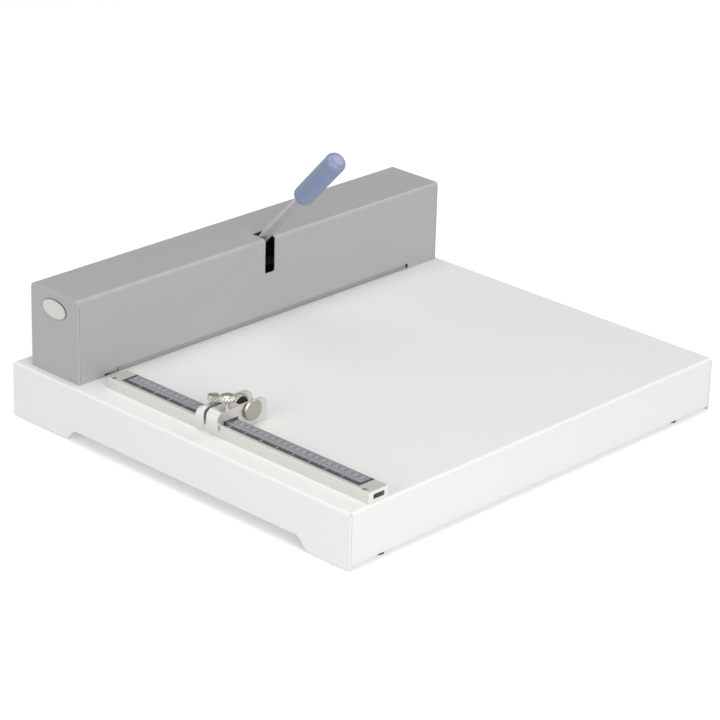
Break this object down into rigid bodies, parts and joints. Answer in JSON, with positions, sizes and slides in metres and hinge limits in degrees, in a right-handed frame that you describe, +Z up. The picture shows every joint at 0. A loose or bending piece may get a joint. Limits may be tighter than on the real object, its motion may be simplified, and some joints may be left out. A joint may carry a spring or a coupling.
{
  "type": "desktop paper creasing machine",
  "caption": "Hand-lever desktop paper creaser: sheet-metal table, housing with a cam-driven creasing blade, side guide with scale and a finely adjustable clamped paper stop.",
  "frame": {"origin": "middle of the footprint, on the desk under the rubber feet", "axes": "+X to the user's right along the crease line, -Y towards the user, +Z up"},
  "size_m": [0.636, 0.566, 0.3162],
  "materials": {
    "white_paint": "fine satin powder coat",
    "grey_paint": "fine satin powder coat",
    "frame_paint": "satin",
    "bare_steel": "machined",
    "spring_steel": "drawn wire",
    "black_steel": "black oxide",
    "bright_rod": "polished",
    "knob_metal": "turned",
    "anodised_aluminium": "satin anodised",
    "stop_aluminium": "satin anodised",
    "scale_slate": "matt printed",
    "bronze": "sintered bronze",
    "blue_plastic": "glossy",
    "black_plastic": "satin",
    "black_rubber": "matt"
  },
  "bodies": {
    "base": {"table_shell": "white_paint", "table_rails": "white_paint", "bed_channel": "bare_steel", "bed_bar": "bare_steel", "bed_screws": "black_steel", "rubber_feet": "black_rubber", "foot_screws": "bare_steel", "foot_nuts": "bare_steel", "ruler_bar": "anodised_aluminium", "ruler_scale": "scale_slate", "ruler_screws": "bare_steel", "ruler_nuts": "bare_steel", "housing_cover": "grey_paint", "paper_guide": "anodised_aluminium", "badge_plate": "anodised_aluminium", "cover_screws": "bare_steel", "left_end_frame": "frame_paint", "right_end_frame": "frame_paint", "frame_bolts": "black_steel", "frame_nuts": "bare_steel", "left_shaft_bush": "bronze", "right_shaft_bush": "bronze", "guide_posts": "bare_steel", "post_screws": "black_steel", "post_nuts": "bare_steel", "left_return_spring": "spring_steel", "right_return_spring": "spring_steel"},
    "lever": {"cross_shaft": "bare_steel", "shaft_collars": "black_steel", "lever_hub": "bare_steel", "hub_pin": "bare_steel", "lever_rod": "bright_rod", "lever_grip": "blue_plastic", "left_cam": "black_steel", "right_cam": "black_steel", "cam_pins": "bare_steel"},
    "beam": {"press_beam": "bare_steel", "guide_bushes": "bronze", "cam_pads": "black_steel", "pad_screws": "bare_steel", "creasing_blade": "black_steel", "blade_clamp": "bare_steel", "blade_screws": "black_steel"},
    "clamp_carriage": {"clamp_block": "stop_aluminium"},
    "clamp_screw": {"clamp_thumb_screw": "bright_rod"},
    "fine_screw": {"fine_knob": "knob_metal", "fine_spindle": "bright_rod"},
    "stop_carriage": {"stop_block": "stop_aluminium"},
    "stop_screw": {"stop_thumb_screw": "bright_rod"},
    "lock_nut": {"spindle_lock_nut": "black_plastic"}
  },
  "joints": [
    {"name": "lever_swing", "type": "hinge", "parent": "base", "child": "lever", "pos_m": [0.002, 0.2165, 0.1425], "axis": [1, 0, 0], "range_deg": [0, 46]},
    {"name": "beam_travel", "type": "slide", "parent": "base", "child": "beam", "axis": [0, 0, -1], "range_m": [0, 0.006], "stiffness_N_per_m": 9000, "springref_m": -0.011, "deforming": ["left_return_spring", "right_return_spring"]},
    {"name": "stop_slide", "type": "slide", "parent": "base", "child": "clamp_carriage", "axis": [0, 1, 0], "range_m": [-0.216, 0.126]},
    {"name": "clamp_turn", "type": "hinge", "parent": "clamp_carriage", "child": "clamp_screw", "pos_m": [-0.2703, -0.0397, 0.118], "axis": [0, 0, 1], "range_deg": [0, 180]},
    {"name": "fine_turn", "type": "hinge", "parent": "clamp_carriage", "child": "fine_screw", "pos_m": [-0.23625, -0.0485, 0.0913], "axis": [0, 1, 0], "range_deg": [-1440, 1440]},
    {"name": "stop_fine_travel", "type": "slide", "parent": "clamp_carriage", "child": "stop_carriage", "axis": [0, 1, 0], "range_m": [-0.004, 0.004]},
    {"name": "stop_screw_turn", "type": "hinge", "parent": "stop_carriage", "child": "stop_screw", "pos_m": [-0.2703, -0.0167, 0.108], "axis": [0, 0, 1], "range_deg": [0, 180]},
    {"name": "lock_nut_turn", "type": "hinge", "parent": "stop_carriage", "child": "lock_nut", "pos_m": [-0.23625, -0.0245, 0.0913], "axis": [0, 1, 0], "range_deg": [0, 90]}
  ],
  "couplings": [
    {"joint": "beam_travel", "follows": "lever_swing", "m_per_rad": 0.007473},
    {"joint": "fine_turn", "follows": "stop_fine_travel", "rad_per_m": -6283.2}
  ]
}
